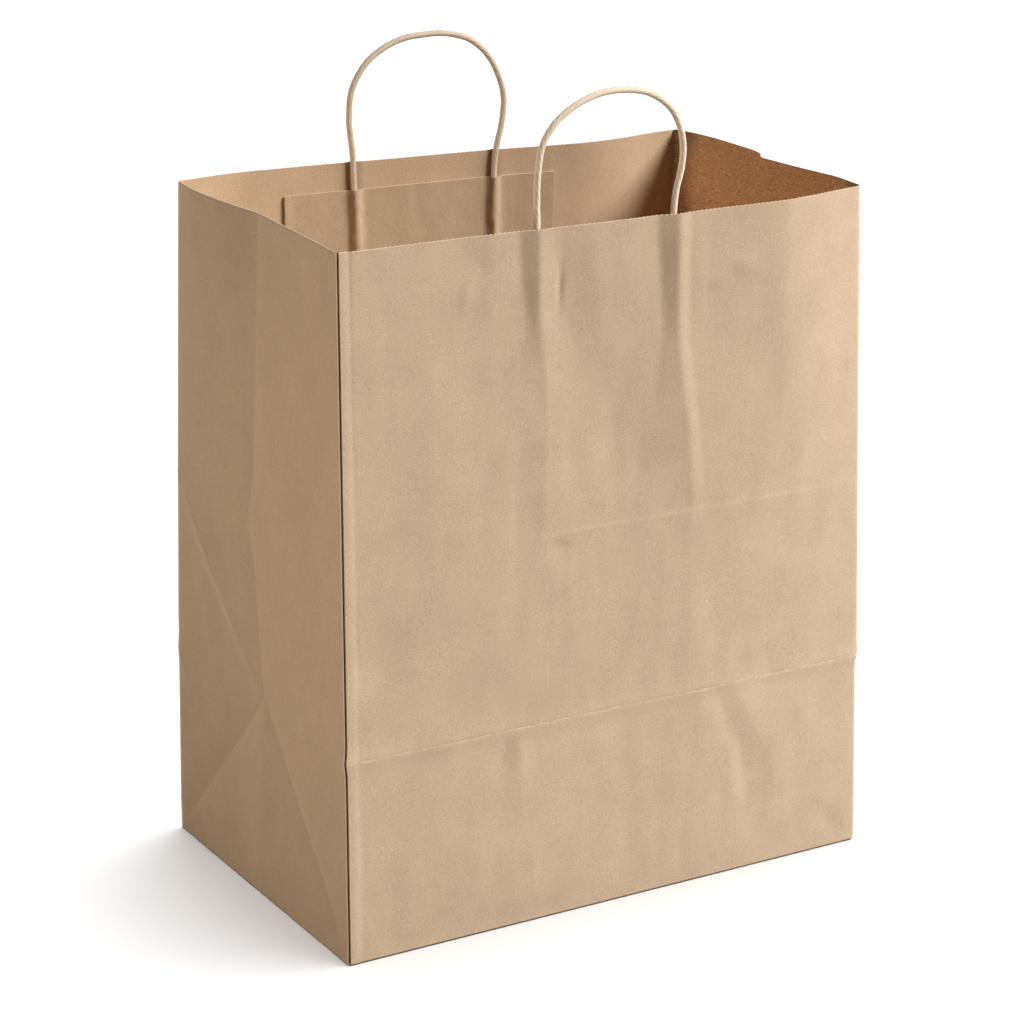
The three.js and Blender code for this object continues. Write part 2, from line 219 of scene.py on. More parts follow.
# Sections of the front wall above the bottom fold: height, then x and how far out, over the bow of the mouth.
# The places of one column belong to the same crest or hollow, and the paper runs straight between them.
UPPER_GAIN = 1.12
LOWER_GAIN = 1.7
UPPER_SECTIONS = (
    (128, (-150, 0), (-118, 0.1), (-98, 0.1), (-78, 0.2), (-66, 0.3), (-47, 0.3), (-30, 0.3),
     (-14, 0.3), (4, 0.3), (14, 0.36), (32, 0.6), (54, 0.9), (66, 0.8), (76, 0.7), (112, 0.45),
     (136, 0.3), (165, 0.1)),
    (170, (-150, 0.3), (-118, 0.5), (-98, 0.5), (-78, 0.9), (-66, 0.8), (-47, 0.7), (-30, 0.8),
     (-14, 0.9), (4, 0.7), (14, 0.8), (32, 1.1), (54, 1.4), (66, 1.3), (76, 1.2), (112, 0.9),
     (136, 0.6), (165, 0.2)),
    (222, (-150, 0), (-118, 0.7), (-98, 0.6), (-84, 0.5), (-68, 0.4), (-47, 0.5), (-30, 0.9),
     (-12, 0.8), (3, 0.6), (14, 0.8), (32, 1.2), (54, 1.6), (66, 1.5), (76, 1.4), (112, 1.1),
     (136, 0.8), (165, 0.2)),
    (250, (-150, 0), (-121, 0.5), (-98, 0.3), (-84, 0.2), (-68, 0.1), (-47, 0.6), (-30, 0.4),
     (-12, 0.1), (4, -0.1), (14, 0.2), (32, 0.8), (55, 1.6), (63, 1.3), (76, 1.3), (112, 1.1),
     (136, 0.8), (165, 0.2)),
    (275, (-150, 0), (-121, 0.6), (-98, 0.2), (-84, 0), (-66, 0), (-47, 0.8), (-30, 0.2), (-12, -0.2),
     (6, -0.7), (14, -0.4), (32, 0.5), (53, 1.8), (61, 1.2), (76, 1.1), (112, 1.1), (136, 0.9),
     (165, 0.2)),
    (300, (-150, 0), (-121, 0.6), (-98, 0.1), (-84, 0), (-64, 0), (-46, 0.9), (-30, 0), (-14, -0.7),
     (0, -1.2), (10, -0.8), (30, 0.7), (50, 2.1), (58, 1.3), (74, 1.1), (112, 1.1), (136, 1.0),
     (165, 0.2)),
    (325, (-150, 0), (-121, 0.6), (-98, 0), (-88, 0), (-70, 0.1), (-46, 0.8), (-30, -0.3), (-17, -0.9),
     (-4, -1.2), (8, -0.8), (28, 0.2), (46, 1.7), (54, 0.8), (70, 0.6), (116, 0.9), (138, 1.0),
     (165, 0)),
    (350, (-150, 0), (-121, 0.6), (-96, 0), (-84, 0), (-63, 0), (-47, 0.9), (-34, -0.3), (-25, -0.7),
     (-9, -0.7), (6, -0.4), (33, -0.1), (43, 1.3), (51, 0.4), (68, 0.2), (114, 1.1), (136, 1.0),
     (165, 0)),
    (375, (-150, 0), (-121, 0.5), (-96, 0), (-82, 0), (-58.5, -0.2), (-51, 1.3), (-41, 0), (-35, -0.4),
     (-13, 0), (5, 0.1), (31, -0.3), (41.5, 1.8), (50, 0.5), (64, 0.3), (110, 1.3), (134, 1.0),
     (165, 0)),
    (395, (-150, 0), (-121, 0.4), (-95, -0.3), (-82, 0), (-61, -0.3), (-51, 1.9), (-41, 0.5),
     (-36, 0.3), (-16, 0.8), (7, 0.5), (30, -0.4), (41.5, 2.4), (50, 0.9), (62, 0.7), (108, 1.4),
     (132, 0.9), (165, 0)),
    (427, (-150, 0), (-121, 0.3), (-97, -0.4), (-82, 0.1), (-63, -0.4), (-51, 1.9), (-41, 0.9),
     (-36, 0.7), (-12, 1.2), (8, 0.7), (28, -0.3), (41.5, 2.3), (50, 1.1), (62, 0.8), (105, 1.4),
     (132, 0.8), (165, 0)),
)

# Sections below the bottom fold, in the same way
LOWER_SECTIONS = (
    (0, (-170, 0), (-150, 0), (-72, 0), (-57, 0), (-34, 0), (-4, 0), (10, 0), (22, 0), (60, 0), (98, 0),
     (130, 0), (145, 0), (165, 0)),
    (20, (-170, 0), (-150, 0.3), (-72, 0.8), (-57, 0.8), (-34, 0.4), (-4, 0.3), (10, 0.2), (22, 0.3),
     (84, 0.25), (98, 0), (130, 0.2), (145, 0.2), (165, 0.1)),
    (50, (-165, 0), (-126, 0.6), (-70, 1.3), (-57, 1.2), (-34, 0.7), (-4, 0.5), (10, 0.4), (22, 0.45),
     (88, 0.3), (98, -0.1), (124, 0.4), (145, 0.3), (165, 0.1)),
    (80, (-130, 0), (-92, 0.6), (-66, 1.2), (-57, 1.1), (-34, 0.8), (-4, 0.5), (10, 0.42), (22, 0.55),
     (85, 0.35), (94, -0.15), (112, 0.6), (140, 0.4), (165, 0.1)),
    (110, (-104, 0), (-78, 0.2), (-65, 0.9), (-57, 0.7), (-34, 0.8), (-4, 0.5), (10, 0.36), (22, 0.6),
     (73, 0.75), (80, 0.3), (97, 0.95), (140, 0.4), (165, 0.1)),
    (124, (-100, 0.07), (-78, 0.13), (-66, 0.2), (-57, 0.2), (-34, 0.2), (-4, 0.2), (10, 0.22),
     (24, 0.33), (54, 0.6), (74, 0.46), (92, 0.4), (140, 0.18), (165, 0.07)),
)

# Small hollows and swells of the front wall: x, height, half width, half height, rise and lean.
# The rise of a hollow is negative.
FRONT_SWELLS = (
    (-37, 391, 1.6, 11, -0.8, 0.04),
    (-158, 182, 16, 20, -1.5, 0.5),
    (-37, 233, 9, 6, -0.6, -0.4),
    (-76, 108, 6, 14, -0.5, 0.2),
    (88, 391, 9, 4, 0.7, 0),
    (70, 383, 6, 4, 0.5, 0),
    (-97, 392, 4, 9, 0.8, 0.15),
    (-88, 409, 5, 5, -0.5, 0),
    (166, 14, 6, 14, -0.8, -1.0),
)


@functools.lru_cache(maxsize=None)
def section(sections, z):
    """Places and reliefs of a set of sections at a height between them."""
    for low, high in zip(sections, sections[1:]):
        if z <= high[0]:
            t = clamp((z - low[0]) / (high[0] - low[0]))
            return tuple((lerp(a[0], b[0], t), lerp(a[1], b[1], t)) for a, b in zip(low[1:], high[1:]))
    return sections[-1][1:]


# How far the crests are rounded: across the wall at the fold and at the legs, and upwards
SOFT_LOW = 0.9
SOFT_HIGH = 1.5
SOFT_RISE = (235, 390)
SOFT_Z = 7.0
SOFT_TAPS = ((-1, 0.25), (0, 0.5), (1, 0.25))


def lofted(sections, x, z):
    """Relief of a wall between its sections, with rounded crests."""
    across = lerp(SOFT_LOW, SOFT_HIGH, smoothstep(*SOFT_RISE, z))
    total = 0.0
    for up, share in SOFT_TAPS:
        line = section(sections, z + up * SOFT_Z)
        total += share * sum(weight * along(line, x + step * across) for step, weight in SOFT_TAPS)
    return total


def swell(middle_x, middle_z, wide, high, rise, slant, x, z):
    """One rounded swell or hollow, which may lean."""
    across = (x - middle_x - slant * (z - middle_z)) / wide
    upward = (z - middle_z) / high
    return rise * math.exp(-across * across - upward * upward)


# The bottom fold is a fine groove along a low rise. Its depth drifts, has small cross wrinkles,
# and is slight over one stretch of the wall.
FOLD_GROOVE = ((-1.1, 0), (0, -0.2), (1.1, 0))
FOLD_REACH = 8.0
FOLD_RISE = 0.45
GROOVE_DEPTH = 0.75
GROOVE_DRIFT = 0.7
GROOVE_DRIFT_SIZE = 17.0
GROOVE_WRINKLE = 0.35
GROOVE_WRINKLE_SIZE = 2.6
GROOVE_SLIGHT = 0.8
GROOVE_SLIGHT_START = (70, 80)
GROOVE_SLIGHT_END = (118, 104)

# The second fold is a faint rise that wanders a little up and down, and fades out towards the left
SECOND_FOLD_PROFILE = ((-22, 0), (0, 0.26), (1.6, 0.08), (24, 0))
SECOND_FOLD_WANDER = 1.2
SECOND_FOLD_WAVE = 60.0
SECOND_FOLD_START = (-75, -35)


def fold_line(x, z):
    strength = GROOVE_DEPTH + GROOVE_DRIFT * unevenness(x, 0, GROOVE_DRIFT_SIZE, seed=8.3)
    strength += GROOVE_WRINKLE * unevenness(x, 0, GROOVE_WRINKLE_SIZE, seed=4.1)
    strength *= 1 - GROOVE_SLIGHT * smoothstep(*GROOVE_SLIGHT_START, x) * smoothstep(*GROOVE_SLIGHT_END, x)
    groove = strength * along(FOLD_GROOVE, z - FOLD_HEIGHT)
    return groove + FOLD_RISE * max(0.0, 1 - abs(z - FOLD_HEIGHT) / FOLD_REACH)


def second_fold(x, z):
    height = SECOND_FOLD_HEIGHT + SECOND_FOLD_WANDER * unevenness(x, 0, SECOND_FOLD_WAVE, seed=1.9)
    return along(SECOND_FOLD_PROFILE, z - height) * smoothstep(*SECOND_FOLD_START, x)


def leg_zone(z):
    """1 beside the legs of the cords, fading out below the strips."""
    return clamp(1 - (STRIP_FOOT - z) / RIDGE_FADE)


def leg_ridge(side, x, z):
    return RIDGE_RISE * leg_zone(z) * sum(along(RIDGE_PROFILE, x - leg) for leg in legs(side))


def leg_dent(x, z):
    """The back wall gives a little where the legs of its cord press on it."""
    return DENT_DEPTH * leg_zone(z) * sum(along(DENT_PROFILE, x - leg) for leg in leg_x(BACK, z))


# Chance unevenness of a dry sheet in broad swells, small swells and upright streaks:
# rise, how much finer it is along the wall and upwards than its size says, size, and a step of the seed
COCKLES = (
    (0.6, 1.3, 0.6, 75, 0),
    (0.22, 1.5, 0.7, 24, 5),
    (0.13, 2.2, 0.6, 22, 9),
)
COCKLE_SEEDS = {"front": 1.7, "back": 40.2, "left": 11.5, "right": 23.5}

# The unevenness dies out towards the corners, by a power of the place along the wall, and towards the foot
WALL_CALM = 10
GUSSET_CALM = 8
FOOT_CALM = (0, 14)


def cockle(x, z, wall):
    seed = COCKLE_SEEDS[wall]
    total = 0.0
    for rise, finer_x, finer_z, size, step in COCKLES:
        total += rise * unevenness(x * finer_x, z * finer_z, size, seed + step)
    return total


def front_bow(x, z):
    f = clamp(x / half_width(z), -1, 1)
    fall = clamp((f - FRONT_BOW_END) / (1 - FRONT_BOW_END)) ** FRONT_BOW_FALL
    return FRONT_BOW * smoothstep(-1, FRONT_BOW_PEAK, f) * (1 - fall) * mouth(z)


def front_out(x, z):
    f = clamp(x / half_width(z), -1, 1)
    relief = cockle(x, z, "front") + second_fold(x, z)
    if z > FOLD_HEIGHT:
        relief += UPPER_GAIN * lofted(UPPER_SECTIONS, x, z)
    else:
        relief += LOWER_GAIN * lofted(LOWER_SECTIONS, x, z)
    relief += sum(swell(*form, x, z) for form in FRONT_SWELLS)
    calm = (1 - f ** WALL_CALM) * smoothstep(*FOOT_CALM, z)
    return front_bow(x, z) + fold_line(x, z) + relief * calm


def back_out(x, z):
    f = clamp(x / half_width(z), -1, 1)
    bow = eased(BACK_MOUTH, f) * mouth(z) + leg_dent(x, z)
    calm = (1 - f ** WALL_CALM) * smoothstep(*FOOT_CALM, z)
    return bow + fold_line(-x, z) + cockle(x, z, "back") * calm


def wall_out(side, x, z):
    return front_out(x, z) if side == FRONT else back_out(x, z)


def wall_y(side, x, z, inset):
    off = stand_off(clamp(x / half_width(z), -1, 1), side, z)
    return side * (half_depth(z) + wall_out(side, x, z) - inset) + off.y


def crease_valley(distance, reach, depth):
    """The paper dips towards a fold that has been pressed in."""
    return -depth * max(0.0, 1 - abs(distance) / reach) ** 2


# Folds of the left gusset: reach to the sides, and depth or rise. A distance square to a slanting fold
# is a share of the upright one.
MIDDLE_VALLEY = (18, 0.45)
LOWER_VALLEY = (24, 1.2)
LOWER_SQUARE = 0.68
LOWER_RIDGE_REACH = 9
LOWER_RIDGE_RISE = 0.45
GUSSET_FOOT = (0, 30)
UPPER_SQUARE = 0.72
UPPER_REACH_BELOW = 8
UPPER_REACH_ABOVE = 26
UPPER_RISE = 1.1
UPPER_START = (0.02, 0.3)

# The bottom fold and the second fold go on round the corners, fainter and a little lower at the back
FRONT_GROOVE_START = (-0.12, -0.3)
BACK_GROOVE_START = (0.6, 0.75)
BACK_GROOVE_SHARE = 0.5
BACK_GROOVE_DROP = 2
SECOND_FOLD_SHARE = 0.5


def left_creases(g, z):
    """Relief of the left gusset's folds: the middle crease, the two lower slants and the upper slant."""
    off_middle = g * BAG_DEPTH / 2
    if z > APEX_HEIGHT:
        relief = crease_valley(off_middle, *MIDDLE_VALLEY)
    else:
        relief = crease_valley((z - APEX_HEIGHT * (1 - abs(g))) * LOWER_SQUARE, *LOWER_VALLEY)
        relief += LOWER_RIDGE_RISE * max(0.0, 1 - abs(off_middle) / LOWER_RIDGE_REACH)
    relief *= smoothstep(*GUSSET_FOOT, z)
    if g > 0:
        rising = (z - lerp(APEX_HEIGHT, UPPER_CREASE_HEIGHT, g)) * UPPER_SQUARE
        reach = UPPER_REACH_BELOW if rising < 0 else UPPER_REACH_ABOVE
        relief += UPPER_RISE * max(0.0, 1 - abs(rising) / reach) * smoothstep(*UPPER_START, g)
        groove = along(FOLD_GROOVE, z - FOLD_HEIGHT + BACK_GROOVE_DROP)
        relief += BACK_GROOVE_SHARE * groove * smoothstep(*BACK_GROOVE_START, g)
    else:
        relief += along(FOLD_GROOVE, z - FOLD_HEIGHT) * smoothstep(*FRONT_GROOVE_START, g)
        relief += SECOND_FOLD_SHARE * along(SECOND_FOLD_PROFILE, z - SECOND_FOLD_HEIGHT)
    return relief


# Mouth: how far its left lip turns in, its pinked teeth, and how much their depth varies along it
RIM_LIP = 0.6
TOOTH_PITCH = 3.0
TOOTH_DEPTH = {FRONT: 0.6, BACK: 0.35}
TOOTH_CHANCE = 0.25
TOOTH_RHYTHM = 0.37


def gusset_out(g, z, left):
    """How far a gusset stands out from its plane; g runs from -1 at the front corner to 1 at the back."""
    fold = min(z / APEX_HEIGHT, 1 - abs(g))
    depth = APEX_DEPTH * min(1.0, (BAG_HEIGHT - z) / (BAG_HEIGHT - APEX_HEIGHT))
    out = eased(LEFT_MOUTH if left else RIGHT_MOUTH, g) * mouth(z) - depth * fold
    edge = 1 - abs(g) ** GUSSET_CALM
    if left:
        out += left_creases(g, z) * edge
        out -= RIM_LIP if on(z, BAG_HEIGHT) else 0.0
    else:
        out += along(RIGHT_PLEAT, g) * smoothstep(*PLEAT_FADE, z)
    wall = "left" if left else "right"
    return out + cockle(g * BAG_DEPTH / 2, z, wall) * edge * smoothstep(*FOOT_CALM, z)


def stations(grades):
    """Places along a wall: each stretch, from its start to the next one's, is filled at its own step."""
    places = [grades[0][0]]
    for (start, step), (end, _) in zip(grades, grades[1:]):
        count = max(1, round((end - start) / step))
        places += [round(lerp(start, end, i / count), 3) for i in range(1, count + 1)]
    return places


# Columns and rows of the sheet, close where it bends: start and step of each stretch
CORNER = 1.2
X_PLACES = stations((
    (-184, 0.8), (-183.2, 0.8), (-182.4, 5.4), (-177, 1), (-176, 2), (-174, 3), (-69, 1.5),
    (-27, 3), (24, 1.5), (63, 3), (180, 1.4), (182.8, 1.2), (184, 0),
))
Y_PLACES = stations(((-115, CORNER), (-113.8, 0.6), (-113.2, 5.7), (0, 5.7), (113.8, CORNER), (115, 0)))
Z_PLACES = stations((
    (0, 1), (1, 3), (4, 5.6), (60, 3.5), (116, 2), (122, 0.8), (124.4, 0.55), (126.6, 1.5),
    (131, 5.15), (234, 2), (240, 1), (244, 2), (250, 4.4), (338, 3.6), (418, 2.5), (425.5, 0.75), (427, 0),
))
STEADY_HALF = 150.0


def wall_x(x, z):
    """Columns stay upright except near the corners, which take up the taper."""
    if abs(x) <= STEADY_HALF:
        return x
    share = (abs(x) - STEADY_HALF) / (BAG_WIDTH / 2 - STEADY_HALF)
    return math.copysign(lerp(STEADY_HALF, half_width(z), share), x)


# Lap seam at the front left corner: x from the corner and how far out.
# The second place is the bottom of its slit.
SEAM = ((0.1, 0.0), (1.9, -3.4), (1.45, 0.15), (6.4, 0.3), (7.8, 0.0))
SEAM_END = -175.5

# Corners: how far each bulges at the bottom fold, the share of that across the wide walls, how far it spreads
# along the gussets, how far the edge is rounded off, and how far the back left corner opens at the mouth
PINCH = {(-1, -1): 1.1, (-1, 1): 0.5, (1, -1): 0.5, (1, 1): 0.5}
PINCH_ACROSS = 0.4
PINCH_SPREAD = 9.0
CORNER_ROUND = 0.35
BACK_LEFT_OPEN = 5.0


def pinch(sx, sy, z):
    """The corners bulge where the bottom fold meets them."""
    return PINCH[(sx, sy)] * max(0.0, 1 - abs(z - FOLD_HEIGHT) / FOLD_REACH)


# How near a place of the box counts as on a limit, and how near a point counts as on a crease
TOUCH = 0.01
CREASE_TOUCH = 0.1


def on(value, limit):
    return abs(value - limit) < TOUCH


def box_place(x, y, z):
    """Where a point of the box ends up, before the bag is skewed."""
    wide, deep = BAG_WIDTH / 2, BAG_DEPTH / 2
    hw, hd = half_width(z), half_depth(z)
    sx, sy = math.copysign(1, x), math.copysign(1, y)
    nip = pinch(sx, sy, z)
    opened = BACK_LEFT_OPEN * mouth(z) if x < 0 < y else 0.0
    if y == -deep and x < SEAM_END:
        step, out = SEAM[X_PLACES.index(x)]
        return Vector((-hw - nip + step, -hd - out - nip * PINCH_ACROSS, z))
    if wide - abs(x) <= CORNER and deep - abs(y) <= CORNER:
        inward = CORNER_ROUND if wide == abs(x) and deep == abs(y) else 0.0
        px = hw - (wide - abs(x)) - inward + nip
        py = hd + opened - (deep - abs(y)) - inward + nip * PINCH_ACROSS
        return Vector((sx * px, sy * py, z))
    if abs(y) == deep:
        side = FRONT if y < 0 else BACK
        px = wall_x(x, z)
        return Vector((px, side * (hd + wall_out(side, px, z)), z))
    if abs(x) == wide:
        g = y / deep
        left = x < 0
        arch = 1 - abs(g)
        shift = along(LEFT_CREASE, z) if left else 0.0
        out = gusset_out(g, z, left)
        bulge = nip * max(0.0, 1 - arch * hd / PINCH_SPREAD)
        return Vector((sx * (hw + out + bulge), g * (hd + opened) + shift * arch, z))
    return Vector((x, y, z))


def shaped(address):
    """Where a point of the box ends up in the skewed bag."""
    x, y, z = address
    place = box_place(x, y, z)
    f = clamp(place.x / half_width(z), -1, 1)
    g = clamp(place.y / half_depth(z), -1, 1)
    return place + stand_off(f, g, z)


# Outer flaps of the block bottom: how far the back one reaches past the middle, and the width of each step
FLAP_PAST_MIDDLE = 15.0
FLAP_STEP = 0.6


def base_rise(x, y):
    """The outer flaps of the block bottom end in shallow steps."""
    end = abs(x) - (BAG_WIDTH - BAG_DEPTH) / 2 - abs(y)
    step_end = clamp(end / FLAP_STEP)
    step_front = clamp((-FLAP_PAST_MIDDLE - y) / FLAP_STEP)
    return SHEET * max(2 * step_end, step_front)


def mesh_object(name, bm, materials):
    """A finished piece with its place in its mesh."""
    for face in bm.faces:
        face.smooth = True
    mesh = bpy.data.meshes.new(name)
    bm.to_mesh(mesh)
    bm.free()
    for material in materials:
        mesh.materials.append(material)
    piece = bpy.data.objects.new(name, mesh)
    bpy.context.scene.collection.objects.link(piece)
    return piece


def along_axis(edge, axis):
    span = edge.verts[1].co - edge.verts[0].co
    return abs(span[axis]) > 0.9 * span.length


def graded_tube():
    """A box without lid and floor, cut into columns and rows at the chosen places."""
    bm = bmesh.new()
    bmesh.ops.create_cube(bm, size=1)
    ends = [face for face in bm.faces if abs(face.normal.z) > 0.5]
    bmesh.ops.delete(bm, geom=ends, context="FACES")
    for axis, places in enumerate((X_PLACES, Y_PLACES, Z_PLACES)):
        edges = [edge for edge in bm.edges if along_axis(edge, axis)]
        bmesh.ops.subdivide_edges(bm, edges=edges, cuts=len(places) - 2)
    for vert in bm.verts:
        for axis, places in enumerate((X_PLACES, Y_PLACES, Z_PLACES)):
            vert.co[axis] = places[round((vert.co[axis] + 0.5) * (len(places) - 1))]
    return bm


def cut(bm, faces, point, normal):
    """Cuts a plane's line into some of the faces."""
    geom = set(faces)
    for face in faces:
        geom.update(face.edges)
        geom.update(face.verts)
    bmesh.ops.bisect_plane(bm, geom=list(geom), dist=0.02, plane_co=point, plane_no=normal)


def gusset_faces(bm, sign, test):
    """Faces of the left or right gusset whose middle passes a test."""
    found = []
    for face in bm.faces:
        middle = face.calc_center_median()
        if on(middle.x, sign * BAG_WIDTH / 2) and test(middle):
            found.append(face)
    return found


# The upper slant is a rounded fold, so it is cut at its line and at two lines below
SLANT_DROPS = (0, 5.5, 11)


def cut_creases(bm):
    """Cuts edges into the gussets where their slanting creases run."""
    deep = BAG_DEPTH / 2
    for sign in (-1, 1):
        for end in (-1, 1):
            part = gusset_faces(bm, sign, lambda m: m.y * end > 0 and m.z < APEX_HEIGHT + 1)
            cut(bm, part, (0, end * deep, 0), (0, end * APEX_HEIGHT, deep))
    for drop in SLANT_DROPS:
        part = gusset_faces(bm, -1, lambda m: m.y > 0 and APEX_HEIGHT < m.z < UPPER_CREASE_HEIGHT + 10)
        cut(bm, part, (0, 0, APEX_HEIGHT - drop), (0, UPPER_CREASE_HEIGHT - APEX_HEIGHT, -deep))


def floor_faces(bm):
    return [face for face in bm.faces if all(on(vert.co.z, 0) for vert in face.verts)]


def close_base(bm):
    """Fills the floor of the tube and cuts the edges of the bottom flaps into it."""
    rim = [edge for edge in bm.edges if edge.is_boundary and all(on(vert.co.z, 0) for vert in edge.verts)]
    bmesh.ops.edgeloop_fill(bm, edges=rim)
    reach = (BAG_WIDTH - BAG_DEPTH) / 2
    for offset in (0, FLAP_STEP):
        cut(bm, floor_faces(bm), (0, -FLAP_PAST_MIDDLE - offset, 0), (0, 1, 0))
        for sx in (-1, 1):
            for sy in (-1, 1):
                cut(bm, floor_faces(bm), (sx * (reach + offset), 0, 0), (sx, -sy, 0))


def pink_mouth(bm):
    """Splits the wide columns of the front and back mouth so that each tooth has a tip and a notch."""
    rim = []
    for edge in bm.edges:
        a, b = edge.verts
        level = on(a.co.z, BAG_HEIGHT) and on(b.co.z, BAG_HEIGHT)
        if level and on(a.co.y, b.co.y) and on(abs(a.co.x - b.co.x), TOOTH_PITCH):
            rim.append(edge)
    bmesh.ops.subdivide_edges(bm, edges=rim, cuts=1)


def on_crease(address):
    """True on the folds of the gussets and on the lips of the seam, whose two sides meet at an edge."""
    x, y, z = address
    if on(y, -BAG_DEPTH / 2):
        return on(x, X_PLACES[0]) or on(x, X_PLACES[1]) or on(x, X_PLACES[2])
    if abs(x) != BAG_WIDTH / 2 or on(y, BAG_DEPTH / 2):
        return False
    g = y / (BAG_DEPTH / 2)
    if z <= APEX_HEIGHT + CREASE_TOUCH:
        return abs(z - APEX_HEIGHT * (1 - abs(g))) < CREASE_TOUCH
    off_slant = abs(z - lerp(APEX_HEIGHT, UPPER_CREASE_HEIGHT, g))
    return abs(y) < CREASE_TOUCH or (x < 0 < y and off_slant < CREASE_TOUCH)


# Worn lines: how far wear reaches from the bottom fold, and fine pale lines on the front wall: two upright
# ones between the two folds, and a level one that the flat-pressed bag keeps along its second fold, from its
# start to the right.
SCUFF_REACH = 1.2
UPRIGHT_LINES = (-46.5, 54.0)
PRESS_START = -75.0
UPRIGHT_PALE = 0.86
LEVEL_WEAR = 0.7


def scuff(address):
    """1 on a worn fold line, 0 a little way off it; the pale lines of the front wall get set shares."""
    x, y, z = address
    share = clamp(1 - abs(z - FOLD_HEIGHT) / SCUFF_REACH)
    if abs(y) == BAG_DEPTH / 2:
        upright = FOLD_HEIGHT < z <= SECOND_FOLD_HEIGHT and any(on(x, line) for line in UPRIGHT_LINES)
        level = x > PRESS_START and on(z, SECOND_FOLD_HEIGHT)
        if y < 0 and (upright or level):
            return UPRIGHT_PALE if upright else LEVEL_WEAR
        return share
    return share * smoothstep(*FRONT_GROOVE_START, y / (BAG_DEPTH / 2)) if x < 0 else share


# Pale cut edge: a band under the mouth on the gussets, with a blend below it, wider than the sheet is thick
# and so partly a painted highlight of its lit top; a painted highlight down the two left corners; and a line
# on the other walls
LIP_BAND = 0.9
LIP_BLEND = 0.75
MOUTH_PALE = 0.9


def pale_edge_and_highlight(address):
    """How pale a cut edge of the sheet shows, from 0 to 1, with painted highlights on the gussets' lips and
    left corners.
    """
    x, y, z = address
    if abs(y) < BAG_DEPTH / 2 - CORNER:
        return clamp((z - BAG_HEIGHT + LIP_BAND) / LIP_BLEND)
    # Painted highlight: the two left corners are pale all the way up
    if on(x, -BAG_WIDTH / 2):
        return 1.0
    return MOUTH_PALE if on(z, BAG_HEIGHT) else 0.0


def carrier_sheet(materials):
    bm = graded_tube()
    cut_creases(bm)
    pink_mouth(bm)
    close_base(bm)
    worn = bm.verts.layers.float.new("worn_fold")
    rim = bm.verts.layers.float.new("pale_edge_and_highlight")
    creased = set()
    moved = []
    bm.verts.index_update()
    for vert in bm.verts:
        address = tuple(round(c, 3) for c in vert.co)
        vert[worn] = scuff(address)
        vert[rim] = pale_edge_and_highlight(address)
        if on_crease(address):
            creased.add(vert.index)
        place = shaped(address)
        if on(address[2], 0):
            place.z = base_rise(place.x, place.y)
        if on(address[2], BAG_HEIGHT) and abs(address[1]) == BAG_DEPTH / 2:
            notch = round(address[0] / TOOTH_PITCH * 2) % 2
            chance = 1 + TOOTH_CHANCE * noise.noise(Vector((address[0] * TOOTH_RHYTHM, address[1], 2.5)))
            place.z -= notch * TOOTH_DEPTH[FRONT if address[1] < 0 else BACK] * chance
        moved.append(place * MM)
    for vert, place in zip(bm.verts, moved):
        vert.co = place
    bmesh.ops.recalc_face_normals(bm, faces=bm.faces)
    for edge in bm.edges:
        edge.smooth = not all(vert.index in creased for vert in edge.verts)
    piece = mesh_object("carrier_sheet", bm, materials)
    wall = piece.modifiers.new("paper_thickness", "SOLIDIFY")
    wall.thickness = SHEET * MM
    wall.offset = -1
    wall.material_offset = 1
    wall.material_offset_rim = 2
    return piece


# Twisted paper cord: its turns, the share of its radius that the grooves take and that varies by chance,
# and the length over which it varies
CORD_SIDES = 24
CORD_STRANDS = 6
CORD_TURN = 32.0
CORD_RINGS = 420
CORD_GROOVE = 0.09
CORD_UNEVEN = 0.05
CORD_UNEVEN_RUN = 9.0
CURVE_STEPS = 40


def cord_y(side, x, z):
    """The cord's middle where it lies on the wall."""
    if side == BACK:
        return wall_y(side, x, z, CORD_INSET - 2 * GLUE_GAP)
    return side * (half_depth(z) + front_bow(x, z) + leg_ridge(side, x, z) - CORD_INSET)


def leg_x(side, z):
    """Where the two legs of a cord are at a height."""
    return [CENTRE[side] + step for step in placed(LEGS[side], z)]


def cord_route(side):
    """Places that a cord goes through, up one leg, round the loop and down the other leg."""
    left, right = leg_x(side, BAG_HEIGHT)
    tops = [cord_y(side, leg, BAG_HEIGHT) for leg in (left, right)]
    slope = math.tan(math.radians(LEAN[side]))
    rising = [row[0] for row in LEGS[side]]
    ends = [[Vector((x, cord_y(side, x, z), z)) for x in leg_x(side, z)] for z in rising]
    route = [pair[0] for pair in ends]
    for step, rise in LOOP[side]:
        x = CENTRE[side] + step
        plane = lerp(*tops, clamp((x - left) / (right - left)))
        free = smoothstep(0, CORD_LEAVES_WALL, rise)
        y = lerp(cord_y(side, x, BAG_HEIGHT), plane, free) + slope * rise
        route.append(Vector((x, y, BAG_HEIGHT + rise)))
    return route + [pair[1] for pair in reversed(ends)]


